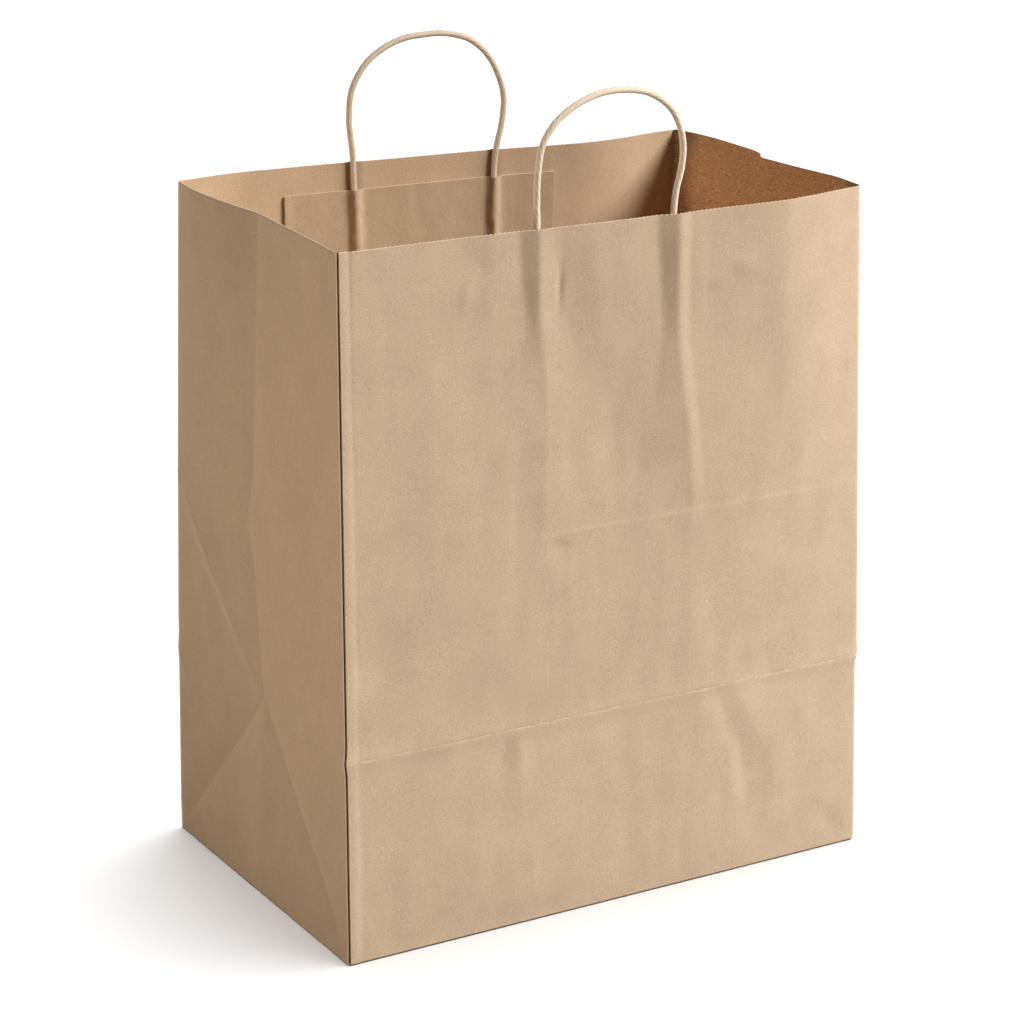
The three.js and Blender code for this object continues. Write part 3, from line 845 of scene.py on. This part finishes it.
def smooth_route(route, count):
    """Points spread evenly along a centripetal curve through the route."""
    ends = [route[0] * 2 - route[1]] + route + [route[-1] * 2 - route[-2]]
    fine = []
    for p0, p1, p2, p3 in zip(ends, ends[1:], ends[2:], ends[3:]):
        t1 = math.sqrt((p1 - p0).length)
        t2 = t1 + math.sqrt((p2 - p1).length)
        t3 = t2 + math.sqrt((p3 - p2).length)
        for i in range(CURVE_STEPS):
            t = lerp(t1, t2, i / CURVE_STEPS)
            a1 = p0.lerp(p1, t / t1)
            a2 = p1.lerp(p2, (t - t1) / (t2 - t1))
            a3 = p2.lerp(p3, (t - t2) / (t3 - t2))
            b1 = a1.lerp(a2, t / t2)
            b2 = a2.lerp(a3, (t - t1) / (t3 - t1))
            fine.append(b1.lerp(b2, (t - t1) / (t2 - t1)))
    fine.append(route[-1].copy())
    lengths = [0.0]
    for a, b in zip(fine, fine[1:]):
        lengths.append(lengths[-1] + (b - a).length)
    points = []
    j = 0
    for i in range(count):
        want = lengths[-1] * i / (count - 1)
        while j < len(lengths) - 2 and lengths[j + 1] < want:
            j += 1
        points.append(fine[j].lerp(fine[j + 1], (want - lengths[j]) / (lengths[j + 1] - lengths[j])))
    return points, lengths[-1]


def twisted_cord(name, side, material):
    points, length = smooth_route(cord_route(side), CORD_RINGS)
    bm = bmesh.new()
    bmesh.ops.create_cone(bm, cap_ends=True, segments=CORD_SIDES, radius1=1, radius2=1, depth=1)
    long_edges = [edge for edge in bm.edges if along_axis(edge, 2)]
    bmesh.ops.subdivide_edges(bm, edges=long_edges, cuts=CORD_RINGS - 2)
    groove = bm.verts.layers.float.new("groove")
    across = Vector((0, 1, 0))
    for vert in bm.verts:
        ring = round((vert.co.z + 0.5) * (CORD_RINGS - 1))
        column = round(math.atan2(vert.co.y, vert.co.x) / (2 * math.pi) * CORD_SIDES) % CORD_SIDES
        ahead = points[min(ring + 1, CORD_RINGS - 1)] - points[max(ring - 1, 0)]
        side_axis = ahead.cross(across).normalized()
        up_axis = side_axis.cross(ahead).normalized()
        run = length * ring / (CORD_RINGS - 1)
        angle = 2 * math.pi * (column / CORD_SIDES + run / CORD_TURN)
        deep = 1.0 if column % (CORD_SIDES // CORD_STRANDS) == 0 else 0.0
        radius = CORD_DIAMETER / 2 * (1 - CORD_GROOVE * deep)
        radius *= 1 + CORD_UNEVEN * noise.noise(Vector((run / CORD_UNEVEN_RUN, column * 0.15, side * 7.0)))
        # The groove attribute marks where the cord material paints shade into the grooves
        vert[groove] = deep
        vert.co = (points[ring] + (side_axis * math.cos(angle) + up_axis * math.sin(angle)) * radius) * MM
    bmesh.ops.recalc_face_normals(bm, faces=bm.faces)
    piece = mesh_object(name, bm, [material])
    return piece, points, length


# Strips glued under and over the cord legs: how far each stands in from its wall, its columns and rows,
# and how pale its cut edge is
BACKING_INSET = 0.5
COVER_INSET = 0.95
STRIP_COLUMNS = 188
STRIP_ROWS = 30
STRIP_EDGE = 0.2
STRIP_PALE = 0.8

# The left end of a cover strip curls off the wall, and its face has small slanting wrinkles
END_CURL = 0.35
CURL_REACH = 7.0
WRINKLE = 0.09
WRINKLE_SIZE = 7.0

# Ridges of the cover strips over the cords: where they start, the gap over the cord,
# half widths on the left and on the right, and chance crumples
COVER_START = (CORD_END - 7, CORD_END + 3)
COVER_GAP = 0.35
STEEP_FLANK = 3.2
SLACK_FLANK = 4.8
FLANK_POWER = 2.6
CRUMPLE = 0.9
CRUMPLE_SIZE = 5.0
CRUMPLE_FINER = 1.4


def backing_y(side, x, z):
    return wall_y(side, x, z, BACKING_INSET)


def cover_y(side, x, z):
    """The cover strip lies on the wall and climbs over the cords."""
    flat = wall_y(side, x, z, COVER_INSET)
    for leg in leg_x(side, z):
        crumple = CRUMPLE * unevenness(x * CRUMPLE_FINER, z, CRUMPLE_SIZE, seed=leg)
        away = max(0.0, abs(x - leg) + crumple)
        wide = STEEP_FLANK if x < leg else SLACK_FLANK
        over = math.exp(-((away / wide) ** FLANK_POWER)) * smoothstep(*COVER_START, z)
        top = cord_y(side, leg, z) - side * (CORD_DIAMETER / 2 + COVER_GAP)
        flat = lerp(flat, top if side * (flat - top) > 0 else flat, over)
    left_end = STRIP_CENTRE[side] - STRIP_LENGTH / 2
    lift = END_CURL * smoothstep(CURL_REACH, 0, x - left_end)
    lift += WRINKLE * (1 + unevenness(x + 0.8 * z, 0.5 * z - 0.4 * x, WRINKLE_SIZE, seed=3.3))
    return flat - side * lift


def strip_place(share, count, length):
    """Place of a row or column of a strip, from its middle; the first and last ones lie close to the edge."""
    index = round((share + 0.5) * count)
    if index in (0, count):
        return math.copysign(length / 2, share)
    return (length - 2 * STRIP_EDGE) * ((index - 1) / (count - 2) - 0.5)


def strip(name, side, height, materials):
    bm = bmesh.new()
    bmesh.ops.create_grid(bm, x_segments=STRIP_COLUMNS, y_segments=STRIP_ROWS, size=0.5)
    rim = bm.verts.layers.float.new("pale_edge_and_highlight")
    for vert in bm.verts:
        at_edge = max(abs(vert.co.x), abs(vert.co.y)) > 0.499
        vert[rim] = STRIP_PALE if at_edge else 0.0
        x = STRIP_CENTRE[side] + strip_place(vert.co.x, STRIP_COLUMNS, STRIP_LENGTH)
        z = STRIP_TOP - STRIP_HEIGHT / 2 + strip_place(vert.co.y, STRIP_ROWS, STRIP_HEIGHT)
        vert.co = Vector((x, height(side, x, z), z)) * MM
    if side == BACK:
        bmesh.ops.reverse_faces(bm, faces=bm.faces)
    piece = mesh_object(name, bm, materials)
    wall = piece.modifiers.new("paper_thickness", "SOLIDIFY")
    wall.thickness = SHEET * MM
    wall.offset = -1
    return piece


# Materials
def linear(hex_colour):
    """An sRGB hex colour as linear red, green, blue and alpha."""
    channels = [int(hex_colour[i:i + 2], 16) / 255 for i in (1, 3, 5)]
    return [c / 12.92 if c <= 0.04045 else ((c + 0.055) / 1.055) ** 2.4 for c in channels] + [1.0]


def node(tree, kind, inputs=None, **settings):
    """Adds a node, sets its options, and sets or links its inputs."""
    made = tree.nodes.new("ShaderNode" + kind)
    for name, value in settings.items():
        setattr(made, name, value)
    for key, value in (inputs or {}).items():
        if isinstance(value, bpy.types.NodeSocket):
            tree.links.new(value, made.inputs[key])
        else:
            made.inputs[key].default_value = value
    return made


def new_material(name):
    material = bpy.data.materials.new(name)
    material.use_nodes = True
    tree = material.node_tree
    tree.nodes.clear()
    return material, tree


# Patterns of kraft paper, in metres, and the share of each in its tone. Clouds are as large as on real paper.
# Real fibres are about 0.04 mm wide and the grain is finer, too fine to show, so both are drawn much coarser.
CLOUD_SIZE = 0.024
CLOUD_SHARE = 0.36
FIBRE_WIDTH = 0.0011
FIBRE_LENGTH = 0.0045
FIBRE_SHARE = 0.15
GRAIN_SIZE = 0.0009
GRAIN_SHARE = 1.1
TONE_LOW = 0.54
TONE_HIGH = 1.06
BUMP_DEPTH = 0.00012

# Dark specks of bark: how far apart they are, their radius and dark core as shares, and the share left out
SPECK_SPACING = 0.017
SPECK_SIZE = 0.022
SPECK_CORE = 0.6
SPECK_RARE = 0.55

# Chips of wood, painted only inside the right-hand gusset as pale and dark marks that stand for light coming
# through the paper there: partly the paper's own chips, partly painted light. They are drawn coarser than
# real ones, too.
CHIP_WIDTH = 0.0013
CHIP_LENGTH = 0.0045
CHIP_SCALE = (1 / CHIP_WIDTH, 1 / CHIP_LENGTH, 1 / CHIP_WIDTH)
CHIP_TURNS = (0.6, -0.7, 1.3)
CHIP_LOW = 0.59
CHIP_HIGH = 0.7
GLOW_ZONE_START = 0.17
GLOW_ZONE_FULL = 0.1725

# Wear of the folds keeps close to their lines and comes in patches, and a cut edge is pale where it frays;
# the same paleness paints highlights on the gussets' lips and down the two left corners
LINE_LOW = 0.55
LINE_HIGH = 0.95
WEAR_SIZE = 0.006
WEAR_LOW = 0.47
WEAR_HIGH = 0.68
WEAR_STRENGTH = 0.6
EDGE_PALE_LOW = 0.66
EDGE_PALE_HIGH = 0.9
EDGE_PALE_STRENGTH = 0.8


# Unbleached kraft paper, rolled matt: a cloudy brown with upright fibres and no gloss to speak of.
# Broken fibres make its worn folds and cut edges pale.
def kraft_paper(name, dark, light, pale, fleck, painted_glow_chips):
    """Kraft paper between two tones, with its pale fibres, its dark flecks and its chips of painted light
    through the paper.
    """
    material, tree = new_material(name)
    place = node(tree, "TexCoord").outputs["Object"]
    cloud = node(tree, "TexNoise", {"Vector": place, "Scale": 1 / CLOUD_SIZE, "Detail": 5, "Roughness": 0.6})
    size = (1 / FIBRE_WIDTH, 1 / FIBRE_WIDTH, 1 / FIBRE_LENGTH)
    long = node(tree, "Mapping", {"Vector": place, "Scale": size}).outputs[0]
    fibre = node(tree, "TexNoise", {"Vector": long, "Scale": 1, "Detail": 2, "Roughness": 0.6})
    grain = node(tree, "TexNoise", {"Vector": place, "Scale": 1 / GRAIN_SIZE, "Detail": 3, "Roughness": 0.7})
    mixed = node(tree, "Math", {0: cloud.outputs[0], 1: CLOUD_SHARE}, operation="MULTIPLY")
    for pattern, share in ((fibre, FIBRE_SHARE), (grain, GRAIN_SHARE)):
        terms = {0: pattern.outputs[0], 1: share, 2: mixed.outputs[0]}
        mixed = node(tree, "Math", terms, operation="MULTIPLY_ADD")
    tone = node(tree, "MapRange", {0: mixed.outputs[0], 1: TONE_LOW, 2: TONE_HIGH})
    colour = node(tree, "Mix", {0: tone.outputs[0], 6: linear(dark), 7: linear(light)}, data_type="RGBA")
    cell = node(tree, "TexVoronoi", {"Vector": place, "Scale": 1 / SPECK_SPACING})
    radius = {1: SPECK_SIZE, 2: SPECK_SIZE * SPECK_CORE}
    spot = node(tree, "MapRange", {0: cell.outputs["Distance"], **radius})
    chosen = node(tree, "SeparateColor", {0: cell.outputs["Color"]})
    rare = node(tree, "Math", {0: chosen.outputs[0], 1: SPECK_RARE}, operation="GREATER_THAN")
    speck = node(tree, "Math", {0: spot.outputs[0], 1: rare.outputs[0]}, operation="MULTIPLY")
    tones = {0: speck.outputs[0], 6: colour.outputs[2], 7: linear(fleck)}
    colour = node(tree, "Mix", tones, data_type="RGBA")
    # Pale and dark chips inside the right-hand gusset: painted light coming through the paper
    apart = node(tree, "SeparateXYZ", {0: place})
    glow_zone = node(tree, "MapRange", {0: apart.outputs[0], 1: GLOW_ZONE_START, 2: GLOW_ZONE_FULL, 4: painted_glow_chips})
    for turn, tint in zip(CHIP_TURNS, (pale, fleck, pale)):
        turned = {"Vector": place, "Rotation": (turn, turn, turn), "Scale": CHIP_SCALE}
        across = node(tree, "Mapping", turned).outputs[0]
        chip = node(tree, "TexNoise", {"Vector": across, "Scale": 1, "Detail": 1, "Roughness": 0.4})
        shown = node(tree, "MapRange", {0: chip.outputs[0], 1: CHIP_LOW, 2: CHIP_HIGH, 4: glow_zone.outputs[0]})
        tones = {0: shown.outputs[0], 6: colour.outputs[2], 7: linear(tint)}
        colour = node(tree, "Mix", tones, data_type="RGBA")
    fold = node(tree, "Attribute", attribute_name="worn_fold")
    line = node(tree, "MapRange", {0: fold.outputs["Fac"], 1: LINE_LOW, 2: LINE_HIGH})
    patch = node(tree, "TexNoise", {"Vector": place, "Scale": 1 / WEAR_SIZE, "Detail": 3})
    broken = node(tree, "MapRange", {0: patch.outputs[0], 1: WEAR_LOW, 2: WEAR_HIGH, 4: WEAR_STRENGTH})
    worn = node(tree, "Math", {0: line.outputs[0], 1: broken.outputs[0]}, operation="MULTIPLY")
    # Pale cut edges, and painted highlights on the gussets' lips and the left corners
    edge = node(tree, "Attribute", attribute_name="pale_edge_and_highlight")
    edge_pale = node(tree, "MapRange", {0: edge.outputs["Fac"], 1: EDGE_PALE_LOW, 2: EDGE_PALE_HIGH, 4: EDGE_PALE_STRENGTH})
    for shown in (worn, edge_pale):
        tones = {0: shown.outputs[0], 6: colour.outputs[2], 7: linear(pale)}
        colour = node(tree, "Mix", tones, data_type="RGBA")
    relief = node(tree, "Bump", {"Height": mixed.outputs[0], "Strength": 0.35, "Distance": BUMP_DEPTH})
    shader = node(tree, "BsdfPrincipled", {
        "Base Color": colour.outputs[2], "Roughness": 0.82, "IOR": 1.45, "Specular IOR Level": 0.3,
        "Normal": relief.outputs[0],
    })
    node(tree, "OutputMaterial", {"Surface": shader.outputs[0]})
    return material


# Twisted paper: pale, smooth kraft wound hard to a cord, a little less matt than the sheet,
# with painted shade in the grooves between its turns and soft clouds of the real size
CORD_CLOUD_SIZE = 0.006
GROOVE_SHADE_STRENGTH = 0.7


def cord_paper():
    material, tree = new_material("twisted_paper")
    place = node(tree, "TexCoord").outputs["Object"]
    clouds = {"Vector": place, "Scale": 1 / CORD_CLOUD_SIZE, "Detail": 4, "Roughness": 0.6}
    cloud = node(tree, "TexNoise", clouds)
    tones = {0: cloud.outputs[0], 6: linear("#D3BDA0"), 7: linear("#EFE1CE")}
    colour = node(tree, "Mix", tones, data_type="RGBA")
    # Painted shade: the grooves between the turns are drawn in a darker colour
    turn = node(tree, "Attribute", attribute_name="groove")
    deep = node(tree, "MapRange", {0: turn.outputs["Fac"], 1: 0.35, 2: 1.0, 4: GROOVE_SHADE_STRENGTH})
    tones = {0: deep.outputs[0], 6: colour.outputs[2], 7: linear("#B5987A")}
    colour = node(tree, "Mix", tones, data_type="RGBA")
    shader = node(tree, "BsdfPrincipled", {
        "Base Color": colour.outputs[2], "Roughness": 0.7, "IOR": 1.45, "Specular IOR Level": 0.35,
    })
    node(tree, "OutputMaterial", {"Surface": shader.outputs[0]})
    return material


def seen_straight(tree):
    """1 for what the camera sees, directly or in gloss or glass."""
    path = node(tree, "LightPath")
    seen = path.outputs["Is Camera Ray"]
    for ray in ("Is Glossy Ray", "Is Transmission Ray"):
        seen = node(tree, "Math", {0: seen, 1: path.outputs[ray]}, operation="MAXIMUM").outputs[0]
    return seen


# Matt white paint of a studio floor: white to the eye and grey as a reflector, and it keeps the shadow
def floor_paint():
    material, tree = new_material("white_floor")
    tones = {0: seen_straight(tree), 6: linear("#5A5A5B"), 7: linear("#F8F8F8")}
    colour = node(tree, "Mix", tones, data_type="RGBA")
    shader = node(tree, "BsdfPrincipled", {
        "Base Color": colour.outputs[2], "Roughness": 0.9, "Specular IOR Level": 0.0,
    })
    node(tree, "OutputMaterial", {"Surface": shader.outputs[0]})
    return material


# Camera at the photograph's viewing angle
CAMERA_AZIMUTH = math.radians(-29.94)
CAMERA_ELEVATION = math.radians(17.83)
CAMERA_DISTANCE = 1996.6
CAMERA_TARGET = Vector((4.3, 16.1, 213.5))
CAMERA_LENS = 111.06


def add_camera():
    data = bpy.data.cameras.new("camera")
    data.lens = CAMERA_LENS
    data.sensor_width = 36
    data.clip_end = 100
    camera = bpy.data.objects.new("camera", data)
    level = math.cos(CAMERA_ELEVATION)
    right = math.sin(CAMERA_AZIMUTH) * level
    ahead = -math.cos(CAMERA_AZIMUTH) * level
    back = Vector((right, ahead, math.sin(CAMERA_ELEVATION)))
    camera.location = (CAMERA_TARGET + back * CAMERA_DISTANCE) * MM
    camera.rotation_euler = back.to_track_quat("Z", "Y").to_euler()
    bpy.context.scene.collection.objects.link(camera)
    bpy.context.scene.camera = camera


# Lights. The key is as broad as a window and falls from the right. Each cord has a key and a fill of its own.
# A low disk brightens the right of the front wall, and a far spot lights the left gusset aslant,
# so that its creases show. The glow is a small lamp inside the bag that stands in for daylight
# through the paper of the right-hand gusset.
WORLD_LEVEL = 0.04
KEY_FROM = (0.61, -0.455, 0.65)
KEY_SPREAD = math.radians(26)
KEY_LEVEL = 5.0
CORD_KEY_LEVELS = (4.6, 3.4)
CORD_FILL_FROM = (-0.5, -0.82, 0.25)
CORD_FILL_SHARE = 0.22
DISK_FROM = (0.85, -0.53, -0.05)
SPOT_FROM = (-0.8, 0.6, -0.02)
SPOT_FOCUS = Vector((-184, -140, 230))
GLOW_FROM = (-0.986, 0.165, 0.023)
GLOW_FOCUS = Vector((176, 2, 392))
FLOOR_LIGHT_FROM = (0.207, 0.014, 1)


def add_lamp(kind, name, towards, colour, receivers, **settings):
    """A lamp that shines from a direction on the given things only; a near one has a distance and a focus."""
    data = bpy.data.lights.new(name, kind)
    data.color = linear(colour)[:3]
    distance = settings.pop("distance", 0.0)
    focus = settings.pop("focus", CAMERA_TARGET)
    for key, value in settings.items():
        setattr(data, key, value)
    lamp = bpy.data.objects.new(name, data)
    aim = Vector(towards).normalized()
    lamp.location = focus * MM + aim * distance
    lamp.rotation_euler = aim.to_track_quat("Z", "Y").to_euler()
    bpy.context.scene.collection.objects.link(lamp)
    lit = bpy.data.collections.new(name + "_lit")
    for piece in receivers:
        lit.objects.link(piece)
    lamp.light_linking.receiver_collection = lit


def add_world(strength, colour):
    world = bpy.data.worlds.new("studio")
    bpy.context.scene.world = world
    world.use_nodes = True
    tree = world.node_tree
    tree.nodes.clear()
    glow = node(tree, "Background", {"Color": linear(colour), "Strength": strength})
    white = node(tree, "Background", {"Color": (1, 1, 1, 1), "Strength": 1})
    mix = node(tree, "MixShader", {0: seen_straight(tree), 1: glow.outputs[0], 2: white.outputs[0]})
    node(tree, "OutputWorld", {"Surface": mix.outputs[0]})


# The floor lies just under the bag, so that no two faces share a plane
FLOOR_HALF = 12.0
FLOOR_GAP = 0.3


def add_floor():
    bm = bmesh.new()
    bmesh.ops.create_grid(bm, x_segments=1, y_segments=1, size=FLOOR_HALF)
    bmesh.ops.translate(bm, verts=bm.verts, vec=(0, 0, -FLOOR_GAP * MM))
    floor = mesh_object("floor", bm, [floor_paint()])
    return floor


bpy.context.scene.view_settings.view_transform = "Standard"
add_camera()

# Pieces of the bag, each on the imported body in place of its node.
pieces = []
cord_material = cord_paper()
for side, word in ((FRONT, "front"), (BACK, "back")):
    cord, points, length = twisted_cord(word + "_cord", side, cord_material)
    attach(cord, "root")
    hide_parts(word + "_handle")
    pieces.append(cord)

outside = kraft_paper("kraft_outside", "#B99F83", "#D8BD9E", pale="#EBDCC6", fleck="#7A5A3A", painted_glow_chips=0.0)
# Its chips are painted light coming through the right-hand gusset's paper
inside = kraft_paper("kraft_inside", "#BEA182", "#DDBE9C", pale="#F3E2C8", fleck="#7A5A3A", painted_glow_chips=0.45)
cut_edge = kraft_paper("kraft_cut_edge", "#DCCAB0", "#EBDCC6", pale="#EBDCC6", fleck="#B89A78", painted_glow_chips=0.0)
strip_paper = kraft_paper("kraft_strip", "#B59B7B", "#D1B594", pale="#EBDCC6", fleck="#7A5A3A", painted_glow_chips=0.0)

bag = carrier_sheet([outside, inside, cut_edge])
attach(bag, "root")
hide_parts("bag_body")
pieces.append(bag)

for side, word in ((FRONT, "front"), (BACK, "back")):
    for layer, height in (("backing", backing_y), ("cover", cover_y)):
        piece = strip(word + "_" + layer, side, height, [strip_paper])
        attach(piece, "root")
        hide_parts(word + "_" + layer + "_strip")
        pieces.append(piece)

# Floor and light
floor = add_floor()
cords = pieces[:2]
papers = pieces[2:]
add_world(WORLD_LEVEL, "#FFF4E6")
add_lamp("SUN", "key", KEY_FROM, "#FFFDFB", papers, energy=KEY_LEVEL, angle=KEY_SPREAD)
for cord, level in zip(cords, CORD_KEY_LEVELS):
    low = CORD_FILL_SHARE * level
    add_lamp("SUN", cord.name + "_key", KEY_FROM, "#FFFFFF", [cord], energy=level, angle=KEY_SPREAD)
    add_lamp("SUN", cord.name + "_fill", CORD_FILL_FROM, "#FFF3E2", [cord], energy=low, angle=KEY_SPREAD)
add_lamp(
    "AREA", "side", DISK_FROM, "#EEF5FF", pieces, distance=0.95, energy=3.4, shape="DISK", size=0.4,
)
add_lamp(
    "SPOT", "fill", SPOT_FROM, "#FFEEDC", pieces, focus=SPOT_FOCUS, distance=4.0, energy=430,
    spot_size=math.radians(16), spot_blend=1.0, shadow_soft_size=0.24,
)
add_lamp(
    "SPOT", "glow", GLOW_FROM, "#FFC599", [bag], focus=GLOW_FOCUS, distance=0.351, energy=1.25,
    spot_size=math.radians(32), spot_blend=0.35, shadow_soft_size=0.005,
)
add_lamp("SUN", "floor_light", FLOOR_LIGHT_FROM, "#FFFFFF", [floor], energy=4.8, angle=math.radians(54))
